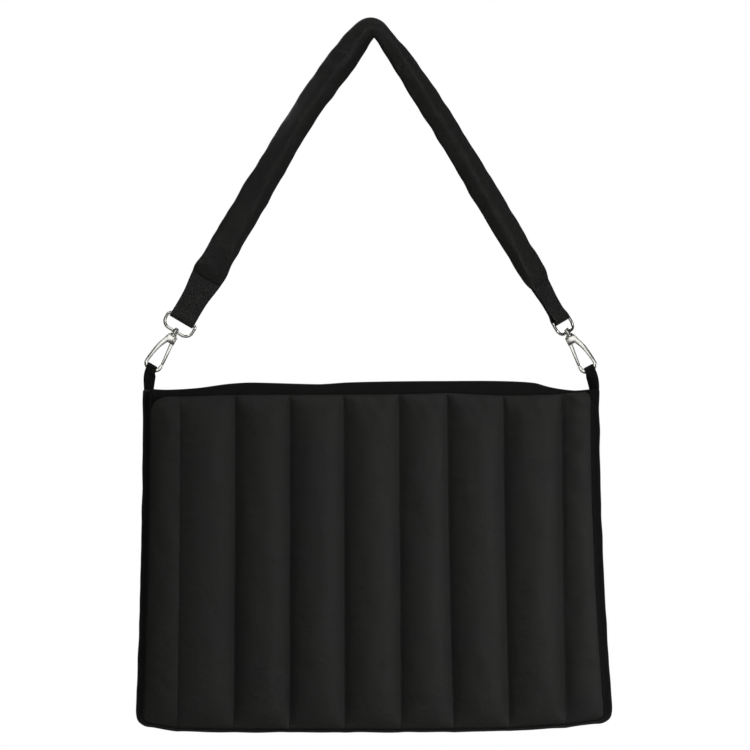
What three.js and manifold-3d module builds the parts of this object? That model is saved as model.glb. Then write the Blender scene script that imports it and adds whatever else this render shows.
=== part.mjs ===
// A black quilted laptop bag that hangs by its padded shoulder strap.
// Millimetres. X runs to the right as the front is seen, Y away from the viewer and Z up.
// The origin is the crook of the strap, where it lies over the peg that holds the bag up.

import * as THREE from "three";
import { mergeVertices } from "three/addons/utils/BufferGeometryUtils.js";
import Module from "manifold-3d";

// Driving dimensions

// Clearance between pieces that are sewn, folded or riveted together.
const GAP = 0.3;

// Quilted panels, with depths measured from the middle of the bag.
const PANEL = {
  faceDepth: 17,
  liningDepth: 12.4,
  puffShare: 0.21,
  puffRoundness: 0.75,
  puffEnd: 24,
  topCorner: 9,
  footCorner: 4.5,
  flare: 1.9,
  facetsAcross: 6,
  rowsFromHem: [0, 0.5, 1.8, 4.5, 10, 24, 60, 110],
};

// Side edges and quilting seams of a panel, left to right: where each meets the top hem and the foot hem.
const QUILT = [
  { topX: -193.6, footX: -200.1, topZ: -312.3, footZ: -595.5 },
  { topX: -167.0, footX: -170.1, topZ: -312.3, footZ: -599.8 },
  { topX: -119.2, footX: -120.9, topZ: -311.9, footZ: -600.7 },
  { topX: -72.6, footX: -72.6, topZ: -311.5, footZ: -600.7 },
  { topX: -24.4, footX: -23.5, topZ: -311.9, footZ: -600.7 },
  { topX: 22.2, footX: 24.4, topZ: -311.5, footZ: -600.7 },
  { topX: 66.6, footX: 70.0, topZ: -311.0, footZ: -600.3 },
  { topX: 115.3, footX: 118.8, topZ: -311.5, footZ: -599.4 },
  { topX: 163.6, footX: 168.8, topZ: -309.3, footZ: -596.4 },
  { topX: 187.8, footX: 199.9, topZ: -308.0, footZ: -592.5 },
];

// Plain strip down both sides and along the foot. It bows out between the panels.
const GUSSET = { wall: 1.6, topZ: -306.2, sideBulge: 5.5, footBulge: 1.2, facetsAcross: 6 };

// Plain bands along the mouth, tucked behind the panels' top hems.
const BAND = { wall: 1.6, tuck: 9, reach: 2.7, curveFacets: 2 };

// Height of the bands' upper edge, which sags between the places where it is held.
const BAND_TOP = [
  { x: -181.8, z: -307.1 },
  { x: -151.4, z: -305.4 },
  { x: -129.6, z: -302.3 },
  { x: -107.9, z: -300.8 },
  { x: -47.0, z: -302.3 },
  { x: -25.2, z: -300.8 },
  { x: 66.1, z: -299.5 },
  { x: 140.0, z: -301.2 },
  { x: 151.4, z: -304.5 },
  { x: 174.9, z: -307.8 },
];

// The two hangers: where the strap's rings swivel, how far they lean from upright, and how much further
// the ring leans and turns about the strap.
const HANGERS = [
  { side: "left", mirror: 1, x: -172.9, z: -255.8, lean: 30.5, ringLean: 0, ringTurn: 0 },
  { side: "right", mirror: -1, x: 168.4, z: -256.2, lean: -27.7, ringLean: 2.5, ringTurn: 55 },
];

// Distance along each strap end from the swivel to the strap's pad.
const PAD_REACH = { left: 53.5, right: 47.8 };

// Sections of the stuffed strap. The pinched end and its shoulder lie in line with the flat strap end, and
// the rest give the middle of the section, its width and thickness, and how far its broad face is turned
// from the front towards the outside of the loop.
const STRAP_PINCH = { beyond: 0, wide: 28.5, thick: 6 };
const STRAP_SHOULDER = { beyond: 8.2, wide: 31, thick: 12 };
const STRAP_SECTIONS = [
  { x: -131.7, z: -184.9, wide: 27.8, thick: 16.5, turn: 20 },
  { x: -106.1, z: -141.4, wide: 27.6, thick: 18.0, turn: 38 },
  { x: -80.0, z: -97.9, wide: 27.6, thick: 18.0, turn: 55 },
  { x: -53.0, z: -54.4, wide: 27.6, thick: 18.0, turn: 55 },
  { x: -27.3, z: -19.6, wide: 27.2, thick: 18.0, turn: 46 },
  { x: -9.0, z: 5.4, wide: 25.5, thick: 16.5, turn: 47 },
  { x: -2.6, z: 8.9, wide: 25.0, thick: 15.5, turn: 58 },
  { x: 3.5, z: 7.4, wide: 25.0, thick: 15.5, turn: 70 },
  { x: 8.1, z: 2.9, wide: 25.5, thick: 16.0, turn: 80 },
  { x: 23.8, z: -19.6, wide: 27.2, thick: 18.0, turn: 76 },
  { x: 46.9, z: -54.4, wide: 27.6, thick: 18.0, turn: 64 },
  { x: 74.4, z: -97.9, wide: 27.6, thick: 18.0, turn: 64 },
  { x: 100.2, z: -141.4, wide: 27.6, thick: 18.0, turn: 56 },
  { x: 126.0, z: -184.9, wide: 27.8, thick: 16.5, turn: 55 },
];
const STRAP = { ringsPerSpan: 3, sides: 14, squareness: 0.85 };

// Flat strap end, folded round the ring's bar, and its taper from the pad to the ring.
const STRAP_END = { layer: 1.8, ringWidth: 23.4, padWidth: 27, foldTail: 9, holeTail: 6.5, curveFacets: 6 };

// Wire ring with a bored boss for the hook's rivet post. Heights are from the swivel point.
const RING = { wire: 1.3, halfWidth: 13.5, barHeight: 12.7, topCorner: 2.5, footCorner: 7 };
const RING_FACETS = { steps: 34, sides: 8 };
const BOSS = { radius: 2.7, bore: 1.45, halfHeight: 1.8 };
const POST = { radius: 1.15, rivetRadius: 2.3, rivetHeight: 1.3, collarRadius: 3.1, collarHeight: 2.7 };

// Cast snap hook, seen from the front with its spine on the left. Heights are below the swivel point.
const HOOK = {
  thick: 4.8,
  bevel: 0.6,
  headLeft: -3.2,
  headRight: 4.2,
  headTop: -3.9,
  headFoot: -10.4,
  eyeLeft: -7.2,
  eyeRight: 3.2,
  eyeFoot: -36.3,
  eyeCorner: 2.2,
  spineLeft: -10.1,
  noseRight: 6.2,
  noseTop: -31.6,
  foot: -40.2,
  footCorner: 6,
  curveFacets: 3,
};
const HOOK_SPINE = [
  { z: -10.4, outer: -5.6, inner: -1.8 },
  { z: -16.0, outer: -7.7, inner: -4.0 },
  { z: -24.0, outer: -9.3, inner: -6.0 },
  { z: -31.0, outer: -10.0, inner: -6.9 },
];

// Sprung gate that closes the hook, in a fork of the head, and its pivot pin.
const GATE = {
  pivotX: 2.4,
  pivotZ: -8,
  endRadius: 1.75,
  tipInner: 3.5,
  tipOuter: 6.0,
  tipZ: -31,
  thick: 2.4,
  bevel: 0.3,
  pinRadius: 0.8,
  pinLength: 4.4,
  forkLeft: -0.6,
  forkTop: -5.4,
};

// Sides of the round bars: the hook's post and rivet, and the gate's pin.
const BAR_SIDES = { post: 16, pin: 12 };

// Sewn tab that loops over the foot of the hook and runs down to its seat inside the gusset. Places are
// measured outwards and upwards from the middle of the hook's foot and drawn to the seat by a share of the
// way. The turn is from the front towards the side.
const TAB_SECTIONS = [
  { out: -2.1, up: 3.6, seated: 0.0, wide: 7.0, thick: 2.6, turn: 0 },
  { out: -1.7, up: 3.0, seated: 0.0, wide: 8.0, thick: 5.4, turn: 0 },
  { out: 0.0, up: 0.0, seated: 0.0, wide: 8.0, thick: 8.0, turn: 0 },
  { out: 0.5, up: -4.5, seated: 0.3, wide: 8.6, thick: 6.8, turn: 10 },
  { out: 0.5, up: -10.0, seated: 0.7, wide: 9.4, thick: 3.8, turn: 34 },
  { out: 0.0, up: -17.0, seated: 1.0, wide: 10.0, thick: 3.2, turn: 60 },
  { out: 0.0, up: -26.0, seated: 1.0, wide: 10.0, thick: 3.2, turn: 70 },
  { out: 0.0, up: -36.0, seated: 1.0, wide: 10.0, thick: 3.2, turn: 70 },
];
const TAB = { ringsPerSpan: 2, sides: 12, squareness: 0.45, seatOut: 1.8 };
const TAB_HOLE = { half: 2.8, top: 2.35, foot: -2.4, tail: -7 };

// Geometry tools

const { lerp, degToRad } = THREE.MathUtils;
const RIGHT = new THREE.Vector3(1, 0, 0);
const BACK = new THREE.Vector3(0, 1, 0);
const UP = new THREE.Vector3(0, 0, 1);
const wasm = await Module();
wasm.setup();

function trianglesToGeometry(positions, triangles) {
  const geometry = new THREE.BufferGeometry();
  geometry.setAttribute("position", new THREE.Float32BufferAttribute(positions, 3));
  geometry.setIndex(triangles);
  return geometry;
}

// Sums the tetrahedra that the triangles make with the origin.
function signedVolume(geometry) {
  const { position } = geometry.attributes;
  const corner = (k) => new THREE.Vector3().fromBufferAttribute(position, geometry.index.array[k]);
  let volume = 0;
  for (let k = 0; k < geometry.index.count; k += 3) {
    volume += corner(k).dot(corner(k + 1).cross(corner(k + 2))) / 6;
  }
  return volume;
}

// Turns a closed surface so that its faces point out.
function faceOutwards(geometry) {
  if (signedVolume(geometry) < 0) {
    geometry.index.array.reverse();
  }
  return geometry;
}

// A closed skin over rings of equally many points, capped at both ends or closed on itself.
function skin(rings, closed = false) {
  const sides = rings[0].length;
  const positions = rings.flat().flatMap((point) => point.toArray());
  const triangles = [];
  const spans = closed ? rings.length : rings.length - 1;
  for (let ring = 0; ring < spans; ring++) {
    const next = (ring + 1) % rings.length;
    for (let side = 0; side < sides; side++) {
      const a = ring * sides + side;
      const b = ring * sides + (side + 1) % sides;
      const c = next * sides + (side + 1) % sides;
      const d = next * sides + side;
      triangles.push(a, b, c, a, c, d);
    }
  }
  if (!closed) {
    const last = (rings.length - 1) * sides;
    for (let side = 1; side < sides - 1; side++) {
      triangles.push(0, side + 1, side, last, last + side, last + side + 1);
    }
  }
  return faceOutwards(trianglesToGeometry(positions, triangles));
}

// A rounded oblong section at a point of a path in the XZ plane. Its broad face is turned about the path.
function oblongRing(centre, tangent, section, sides, squareness) {
  const outward = new THREE.Vector3(-tangent.z, 0, tangent.x);
  const turn = degToRad(section.turn);
  const broad = outward.clone().multiplyScalar(Math.cos(turn)).addScaledVector(BACK, Math.sin(turn));
  const thin = outward.clone().multiplyScalar(-Math.sin(turn)).addScaledVector(BACK, Math.cos(turn));
  const rounded = (value) => Math.sign(value) * Math.abs(value) ** squareness;
  return Array.from({ length: sides }, (_, side) => {
    const angle = (side + 0.5) / sides * 2 * Math.PI;
    return centre.clone()
      .addScaledVector(broad, section.wide / 2 * rounded(Math.cos(angle)))
      .addScaledVector(thin, section.thick / 2 * rounded(Math.sin(angle)));
  });
}

// A strap, tab or pad swept through a table of sections.
function sweepSections(sections, { ringsPerSpan, sides, squareness }) {
  const path = new THREE.CatmullRomCurve3(sections.map(({ x, z }) => new THREE.Vector3(x, 0, z)));
  const steps = (sections.length - 1) * ringsPerSpan;
  const rings = Array.from({ length: steps + 1 }, (_, step) => {
    const row = Math.min(Math.floor(step / ringsPerSpan), sections.length - 2);
    const share = step / ringsPerSpan - row;
    const blend = (column) => lerp(sections[row][column], sections[row + 1][column], share);
    const section = { wide: blend("wide"), thick: blend("thick"), turn: blend("turn") };
    const centre = path.getPoint(step / steps);
    const tangent = path.getTangent(step / steps);
    return oblongRing(centre, tangent, section, sides, squareness);
  });
  return skin(rings);
}

function toSolid(geometry) {
  const bare = new THREE.BufferGeometry();
  bare.setAttribute("position", geometry.attributes.position);
  bare.setIndex(geometry.index);
  const merged = faceOutwards(mergeVertices(bare));
  return new wasm.Manifold(new wasm.Mesh({
    numProp: 3,
    vertProperties: merged.attributes.position.array,
    triVerts: new Uint32Array(merged.index.array),
  }));
}

function toGeometry(solid) {
  const { vertProperties, triVerts } = solid.getMesh();
  return trianglesToGeometry(vertProperties, Array.from(triVerts));
}

// A round bar between two heights on the Z axis.
function barAlongZ(radius, lowZ, highZ) {
  return new THREE.CylinderGeometry(radius, radius, highZ - lowZ, BAR_SIDES.post)
    .rotateX(Math.PI / 2)
    .translate(0, 0, (lowZ + highZ) / 2);
}

// A round bar across the thickness of the hook, at the gate's pivot.
function barAtPivot(radius, length) {
  return new THREE.CylinderGeometry(radius, radius, length, BAR_SIDES.pin)
    .translate(GATE.pivotX, 0, GATE.pivotZ);
}

// A plate cut to an outline in the XZ plane, with its edges eased, about the plane Y = 0.
function platedOutline(shape, thick, bevel, curveSegments) {
  return new THREE.ExtrudeGeometry(shape, {
    depth: thick - 2 * bevel,
    bevelEnabled: bevel > 0,
    bevelThickness: bevel,
    bevelSize: bevel,
    bevelOffset: -bevel,
    bevelSegments: 1,
    curveSegments,
  }).rotateX(Math.PI / 2).translate(0, thick / 2 - bevel, 0);
}

// Materials

const cloth = (color, roughness) => new THREE.MeshStandardMaterial({ color, roughness, metalness: 0 });
const quiltedNylon = cloth("#26262a", 0.6);
const plainNylon = cloth("#17171a", 0.7);
const webbing = cloth("#141416", 0.8);
const castMetal = new THREE.MeshStandardMaterial({ color: "#c4c4c0", roughness: 0.25, metalness: 1 });

const bag = new THREE.Group();

function addPiece(parent, name, geometry, material) {
  const mesh = new THREE.Mesh(geometry, material);
  mesh.name = name;
  parent.add(mesh);
}

// Quilted panels

const CHANNELS = QUILT.length - 1;
const ROWS = [
  ...PANEL.rowsFromHem.map((fromHem) => ({ atTop: true, fromHem })),
  ...PANEL.rowsFromHem.map((fromHem) => ({ atTop: false, fromHem })).reverse(),
];

// A seam or side edge at a share of the way down the panel: the bag flares towards its foot.
const seamX = (seam, share) => lerp(seam.topX, seam.footX, share ** PANEL.flare);

const cornerInset = (fromHem, radius) =>
  fromHem < radius ? radius - Math.sqrt(radius ** 2 - (radius - fromHem) ** 2) : 0;

// How full a puff is at a distance from the hem that closes it.
const hemFullness = (fromHem) => Math.sqrt(1 - (1 - Math.min(fromHem / PANEL.puffEnd, 1)) ** 2);

const rowHeight = (row, topZ, footZ) => (row.atTop ? topZ - row.fromHem : footZ + row.fromHem);

function panelPoint(channel, across, row) {
  const near = QUILT[channel];
  const far = QUILT[channel + 1];
  const topZ = lerp(near.topZ, far.topZ, across);
  const footZ = lerp(near.footZ, far.footZ, across);
  const z = rowHeight(row, topZ, footZ);
  const share = (topZ - z) / (topZ - footZ);
  const inset = cornerInset(row.fromHem, row.atTop ? PANEL.topCorner : PANEL.footCorner);
  const nearX = seamX(near, share) + (channel === 0 ? inset : 0);
  const farX = seamX(far, share) - (channel === CHANNELS - 1 ? inset : 0);
  const round = Math.sin(Math.PI * across) ** PANEL.puffRoundness;
  const puff = PANEL.puffShare * (farX - nearX) * round * hemFullness(row.fromHem);
  return new THREE.Vector3(lerp(nearX, farX, across), PANEL.faceDepth + puff, z);
}

// The outer face of puffs, a rim as deep as the padding at its hems, and the flat lining.
function quiltedPanel(facing) {
  const columns = [];
  for (let channel = 0; channel < CHANNELS; channel++) {
    for (let facet = 0; facet < PANEL.facetsAcross; facet++) {
      columns.push({ channel, across: (1 - Math.cos(facet / PANEL.facetsAcross * Math.PI)) / 2 });
    }
  }
  columns.push({ channel: CHANNELS - 1, across: 1 });
  const wide = columns.length;
  const rowPoints = (row) => columns.map(({ channel, across }) => panelPoint(channel, across, row));
  const points = ROWS.flatMap(rowPoints);
  const triangles = [];
  for (let row = 0; row < ROWS.length - 1; row++) {
    for (let column = 0; column < wide - 1; column++) {
      const a = row * wide + column;
      triangles.push(a, a + wide, a + wide + 1, a, a + wide + 1, a + 1);
    }
  }
  const lastRow = (ROWS.length - 1) * wide;
  const rim = [
    ...columns.keys(),
    ...ROWS.slice(1, -1).map((_, row) => (row + 2) * wide - 1),
    ...[...columns.keys()].reverse().map((column) => lastRow + column),
    ...ROWS.slice(1, -1).map((_, row) => (row + 1) * wide).reverse(),
  ];
  const liningStart = points.length;
  for (const index of rim) {
    points.push(points[index].clone().setY(PANEL.liningDepth));
  }
  rim.forEach((index, step) => {
    const next = (step + 1) % rim.length;
    triangles.push(index, rim[next], liningStart + step, rim[next], liningStart + next, liningStart + step);
  });
  const outline = rim.map((index) => new THREE.Vector2(points[index].x, points[index].z));
  for (const [a, b, c] of THREE.ShapeUtils.triangulateShape(outline, [])) {
    triangles.push(liningStart + c, liningStart + b, liningStart + a);
  }
  const positions = points.flatMap(({ x, y, z }) => [x, facing * y, z]);
  return faceOutwards(trianglesToGeometry(positions, triangles));
}

addPiece(bag, "front_panel", quiltedPanel(-1), quiltedNylon);
addPiece(bag, "back_panel", quiltedPanel(1), quiltedNylon);

// Gusset

// The line that the panels are sewn along, down the left edge, along the foot and up the right edge.
function gussetLine() {
  const edge = (seam, inwards) => ROWS.map((row) => {
    const z = rowHeight(row, seam.topZ, seam.footZ);
    const share = (seam.topZ - z) / (seam.topZ - seam.footZ);
    const inset = row.atTop ? 0 : cornerInset(row.fromHem, PANEL.footCorner);
    return new THREE.Vector2(seamX(seam, share) + inwards * inset, z);
  });
  const left = QUILT[0];
  const right = QUILT[CHANNELS];
  return [
    new THREE.Vector2(left.topX, GUSSET.topZ),
    ...edge(left, 1),
    ...QUILT.slice(1, -1).map((seam) => new THREE.Vector2(seam.footX, seam.footZ)),
    ...edge(right, -1).reverse(),
    new THREE.Vector2(right.topX, GUSSET.topZ),
  ];
}

function gussetStrip() {
  const line = gussetLine();
  const across = [];
  for (let facet = 0; facet <= GUSSET.facetsAcross; facet++) {
    across.push(2 * facet / GUSSET.facetsAcross - 1);
  }
  const rings = line.map((point, step) => {
    const before = line[Math.max(step - 1, 0)];
    const after = line[Math.min(step + 1, line.length - 1)];
    const along = after.clone().sub(before).normalize();
    const outward = new THREE.Vector2(along.y, -along.x);
    const bulge = lerp(GUSSET.footBulge, GUSSET.sideBulge, outward.x ** 2);
    const atDepth = (share, lift) => {
      const place = point.clone().addScaledVector(outward, lift + bulge * (1 - share ** 2));
      return new THREE.Vector3(place.x, share * PANEL.faceDepth, place.y);
    };
    return [
      ...across.map((share) => atDepth(share, GAP + GUSSET.wall)),
      ...across.toReversed().map((share) => atDepth(share, GAP)),
    ];
  });
  return skin(rings);
}

addPiece(bag, "gusset", gussetStrip(), plainNylon);

// Bands along the mouth

function topBand(facing) {
  const left = QUILT[0].topX - BAND.reach;
  const right = QUILT[CHANNELS].topX + BAND.reach;
  const top = [
    { x: left, z: GUSSET.topZ },
    ...BAND_TOP,
    { x: right, z: GUSSET.topZ },
  ].map(({ x, z }) => new THREE.Vector2(x, z));
  const shape = new THREE.Shape();
  shape.moveTo(top[0].x, top[0].y);
  shape.splineThru(top.slice(1));
  shape.lineTo(right, QUILT[CHANNELS].topZ - BAND.tuck);
  shape.lineTo(left, QUILT[0].topZ - BAND.tuck);
  const depth = PANEL.liningDepth - GAP - BAND.wall / 2;
  return platedOutline(shape, BAND.wall, 0, BAND.curveFacets).translate(0, facing * depth, 0);
}

addPiece(bag, "top_band_front", topBand(-1), plainNylon);
addPiece(bag, "top_band_back", topBand(1), plainNylon);

// Metal hangers

function ringLoop() {
  const { halfWidth, barHeight, topCorner, footCorner, wire } = RING;
  const loop = new THREE.Path();
  loop.moveTo(halfWidth - topCorner, barHeight);
  loop.lineTo(topCorner - halfWidth, barHeight);
  loop.absarc(topCorner - halfWidth, barHeight - topCorner, topCorner, Math.PI / 2, Math.PI);
  loop.absarc(footCorner - halfWidth, footCorner, footCorner, Math.PI, 1.5 * Math.PI);
  loop.absarc(halfWidth - footCorner, footCorner, footCorner, 1.5 * Math.PI, 2 * Math.PI);
  loop.absarc(halfWidth - topCorner, barHeight - topCorner, topCorner, 0, Math.PI / 2);
  const points = loop.getSpacedPoints(RING_FACETS.steps).slice(0, -1);
  const section = { wide: 2 * wire, thick: 2 * wire, turn: 0 };
  const rings = points.map((point, step) => {
    const before = points.at(step - 1);
    const after = points[(step + 1) % points.length];
    const along = after.clone().sub(before).normalize();
    const centre = new THREE.Vector3(point.x, 0, point.y);
    const tangent = new THREE.Vector3(along.x, 0, along.y);
    return oblongRing(centre, tangent, section, RING_FACETS.sides, 1);
  });
  return skin(rings, true);
}

function swivelRing() {
  const boss = barAlongZ(BOSS.radius, -BOSS.halfHeight, BOSS.halfHeight);
  const bore = barAlongZ(BOSS.bore, -2 * BOSS.halfHeight, 2 * BOSS.halfHeight);
  return toGeometry(toSolid(ringLoop()).add(toSolid(boss)).subtract(toSolid(bore)));
}

function hookOutline() {
  const { eyeLeft, eyeRight, eyeFoot, eyeCorner, spineLeft, noseRight, foot, footCorner } = HOOK;
  const quarter = Math.PI / 2;
  const spine = (column, rows) => rows.map((row) => new THREE.Vector2(row[column], row.z));
  const shape = new THREE.Shape();
  shape.moveTo(HOOK.headRight, HOOK.headTop);
  shape.lineTo(HOOK.headLeft, HOOK.headTop);
  shape.splineThru(spine("outer", HOOK_SPINE));
  shape.absarc(spineLeft + footCorner, foot + footCorner, footCorner, 2 * quarter, 3 * quarter);
  shape.absarc(noseRight - footCorner, foot + footCorner, footCorner, 3 * quarter, 4 * quarter);
  shape.lineTo(noseRight, HOOK.noseTop);
  shape.lineTo(eyeRight, HOOK.noseTop);
  shape.absarc(eyeRight - eyeCorner, eyeFoot + eyeCorner, eyeCorner, 0, -quarter, true);
  shape.absarc(eyeLeft + eyeCorner, eyeFoot + eyeCorner, eyeCorner, -quarter, -2 * quarter, true);
  shape.splineThru(spine("inner", HOOK_SPINE.toReversed()));
  shape.lineTo(HOOK.headRight, HOOK.headFoot);
  return shape;
}

// The fork is cut in from the head's right side, and wide enough for the gate to swing.
function gateFork() {
  const wide = 2 * (HOOK.headRight - GATE.forkLeft);
  const tall = 2 * (GATE.forkTop - HOOK.headFoot);
  return new THREE.BoxGeometry(wide, GATE.thick + 2 * GAP, tall)
    .translate(GATE.forkLeft + wide / 2, 0, GATE.forkTop - tall / 2);
}

function snapHook() {
  const plate = platedOutline(hookOutline(), HOOK.thick, HOOK.bevel, HOOK.curveFacets);
  const collarTop = -BOSS.halfHeight - GAP;
  const rivetFoot = BOSS.halfHeight + GAP;
  const collar = barAlongZ(POST.collarRadius, collarTop - POST.collarHeight, collarTop);
  const post = barAlongZ(POST.radius, collarTop - POST.collarHeight / 2, rivetFoot + POST.rivetHeight / 2);
  const rivet = barAlongZ(POST.rivetRadius, rivetFoot, rivetFoot + POST.rivetHeight);
  return toGeometry(toSolid(plate)
    .add(toSolid(collar))
    .add(toSolid(post))
    .add(toSolid(rivet))
    .subtract(toSolid(gateFork()))
    .subtract(toSolid(barAtPivot(GATE.pinRadius + GAP, 2 * HOOK.thick))));
}

function hookGate() {
  const { pivotX, pivotZ, endRadius, tipInner, tipOuter, tipZ } = GATE;
  const shape = new THREE.Shape();
  shape.moveTo(tipOuter, tipZ);
  shape.lineTo(pivotX + endRadius, pivotZ);
  shape.absarc(pivotX, pivotZ, endRadius, 0, Math.PI);
  shape.lineTo(tipInner, tipZ);
  const lever = platedOutline(shape, GATE.thick, GATE.bevel, HOOK.curveFacets);
  return toGeometry(toSolid(lever).subtract(toSolid(barAtPivot(GATE.pinRadius + GAP, 2 * GATE.thick))));
}

// Flat strap end: two layers that part to fold round the ring's bar, which is at the origin here.
function strapEnd(length) {
  const { layer, ringWidth, padWidth, foldTail, holeTail, curveFacets } = STRAP_END;
  const hole = RING.wire + GAP;
  const fold = hole + layer;
  const shape = new THREE.Shape();
  shape.moveTo(layer, foldTail);
  shape.lineTo(fold, 0);
  shape.absarc(0, 0, fold, 0, -Math.PI, true);
  shape.lineTo(-layer, foldTail);
  shape.lineTo(-layer, length);
  shape.lineTo(layer, length);
  const round = new THREE.Path();
  round.moveTo(0, holeTail);
  round.lineTo(-hole, 0);
  round.absarc(0, 0, hole, Math.PI, 2 * Math.PI);
  shape.holes.push(round);
  const options = { depth: 1, bevelEnabled: false, curveSegments: curveFacets };
  const geometry = new THREE.ExtrudeGeometry(shape, options)
    .applyMatrix4(new THREE.Matrix4().makeBasis(BACK, UP, RIGHT));
  const position = geometry.attributes.position;
  for (let k = 0; k < position.count; k++) {
    const wide = lerp(ringWidth, padWidth, THREE.MathUtils.clamp(position.getZ(k) / length, 0, 1));
    position.setX(k, (position.getX(k) - 0.5) * wide);
  }
  return geometry.translate(0, 0, RING.barHeight);
}

// The tear-shaped space inside a tab's loop, round the foot of the hook.
function tabHole(loopX, loopZ) {
  const shape = new THREE.Shape();
  shape.moveTo(-TAB_HOLE.half, TAB_HOLE.top);
  shape.lineTo(-TAB_HOLE.half, TAB_HOLE.foot);
  shape.lineTo(0, TAB_HOLE.tail);
  shape.lineTo(TAB_HOLE.half, TAB_HOLE.foot);
  shape.lineTo(TAB_HOLE.half, TAB_HOLE.top);
  const reach = HOOK.noseRight - HOOK.spineLeft;
  return new THREE.ExtrudeGeometry(shape, { depth: reach, bevelEnabled: false })
    .applyMatrix4(new THREE.Matrix4().makeBasis(BACK, UP, RIGHT))
    .translate(loopX - reach / 2, 0, loopZ);
}

function sewnTab(hanger, mirror) {
  const loopX = (HOOK.eyeLeft + HOOK.eyeRight) / 2;
  const loopZ = (HOOK.eyeFoot + HOOK.foot) / 2;
  const loop = new THREE.Vector3(loopX, 0, loopZ).applyMatrix4(hanger.matrix);
  const seatX = QUILT.at(mirror > 0 ? 0 : -1).topX - mirror * TAB.seatOut;
  const sections = TAB_SECTIONS.map(({ out, up, seated, wide, thick, turn }) => ({
    x: lerp(loop.x - mirror * out, seatX, seated),
    z: loop.z + up,
    wide,
    thick,
    turn: -mirror * turn,
  }));
  const hole = toSolid(tabHole(loopX, loopZ).applyMatrix4(hanger.matrix));
  return toGeometry(toSolid(sweepSections(sections, TAB)).subtract(hole));
}

const strapEnds = [];
for (const { side, mirror, x, z, lean, ringLean, ringTurn } of HANGERS) {
  const padReach = PAD_REACH[side];
  const hanger = new THREE.Group();
  hanger.position.set(x, 0, z);
  hanger.rotation.y = degToRad(lean);
  hanger.scale.x = mirror;
  hanger.updateMatrix();
  bag.add(hanger);
  addPiece(hanger, `hook_${side}`, snapHook(), castMetal);
  addPiece(hanger, `gate_${side}`, hookGate(), castMetal);
  addPiece(hanger, `gate_pin_${side}`, barAtPivot(GATE.pinRadius, GATE.pinLength), castMetal);

  const turned = new THREE.Group();
  turned.rotation.set(0, degToRad(ringLean), degToRad(-ringTurn));
  hanger.add(turned);
  turned.updateWorldMatrix(true, false);
  addPiece(turned, `ring_${side}`, swivelRing(), castMetal);
  addPiece(turned, `strap_end_${side}`, strapEnd(padReach - GAP - RING.barHeight), webbing);
  addPiece(bag, `tab_${side}`, sewnTab(hanger, mirror), webbing);

  strapEnds.push([STRAP_PINCH, STRAP_SHOULDER].map(({ beyond, wide, thick }) => {
    const place = new THREE.Vector3(0, 0, padReach + beyond).applyMatrix4(turned.matrixWorld);
    return { x: place.x, z: place.z, wide, thick, turn: ringTurn };
  }));
}

// Stuffed strap, from the left ring over the peg to the right one

const [leftEnd, rightEnd] = strapEnds;
const strapSections = [...leftEnd, ...STRAP_SECTIONS, ...rightEnd.reverse()];
addPiece(bag, "strap_pad", sweepSections(strapSections, STRAP), quiltedNylon);

export default bag;
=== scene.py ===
# %% [markdown]
# # A quilted laptop bag on its shoulder strap
#
# The bag is black puffer nylon: two quilted panels, a plain strip round the sides and foot, bands along the
# mouth, and a stuffed strap that clips to webbing tabs at the corners. The CAD frame gives every piece its
# place and its size. This script keeps that frame and dresses it, so that the cloth looks sewn and stuffed
# and the metal looks cast. Tables are in millimetres, as on a pattern sheet. Every point is in metres, in
# the frame's own axes: X to the right, Y to the back and Z up.

# %% Load the frame
import math
from contextlib import contextmanager

import bmesh
import bpy
from mathutils import Matrix, Vector, noise


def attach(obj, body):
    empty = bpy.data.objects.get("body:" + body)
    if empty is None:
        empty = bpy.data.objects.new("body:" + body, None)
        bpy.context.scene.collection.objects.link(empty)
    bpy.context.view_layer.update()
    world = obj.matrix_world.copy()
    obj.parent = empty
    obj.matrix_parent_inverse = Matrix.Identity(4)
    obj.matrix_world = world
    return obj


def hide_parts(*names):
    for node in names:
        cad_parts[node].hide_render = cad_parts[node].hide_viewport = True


MM = 0.001
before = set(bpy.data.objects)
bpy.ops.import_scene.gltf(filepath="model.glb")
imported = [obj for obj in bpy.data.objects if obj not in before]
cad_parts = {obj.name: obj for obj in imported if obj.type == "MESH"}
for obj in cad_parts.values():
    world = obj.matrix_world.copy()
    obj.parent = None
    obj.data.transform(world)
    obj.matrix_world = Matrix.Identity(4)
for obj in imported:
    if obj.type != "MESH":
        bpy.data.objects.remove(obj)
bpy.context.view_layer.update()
print("CAD nodes:", ", ".join(sorted(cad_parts)))

# %% [markdown]
# ## Camera
#
# The photograph looks straight at the front, from so far away that no side of the bag leans. An
# orthographic camera would draw that too, but it shows no depth at all in the other views. A long lens is
# the better copy: 400 mm on a full-frame sensor, moved back until the picture's width is 652.5 mm at the
# bag.

# %% Camera
PICTURE_WIDTH = 652.5 * MM
PICTURE_CENTRE = Vector((0.9, 0, -293.6)) * MM
LENS, SENSOR = 400, 36

camera = bpy.data.objects.new("photo_camera", bpy.data.cameras.new("photo_camera"))
bpy.context.collection.objects.link(camera)
camera.data.lens = LENS
camera.data.sensor_width = SENSOR
camera_distance = PICTURE_WIDTH * LENS / SENSOR
camera.location = PICTURE_CENTRE - Vector((0, camera_distance, 0))
camera.rotation_euler = (math.radians(90), 0, 0)
bpy.context.scene.camera = camera
print(f"the camera stands {camera_distance:.2f} m in front of the bag")

# %% [markdown]
# ## Node helpers
#
# Every finish below is a small tree of shader nodes. One function adds a node, sets its options and
# sockets, and links what comes from another node, so that a material reads as a list of what goes into
# what. Colours are written as the hex values that a colour picker shows, and turned to the linear light
# Blender works in.

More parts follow.
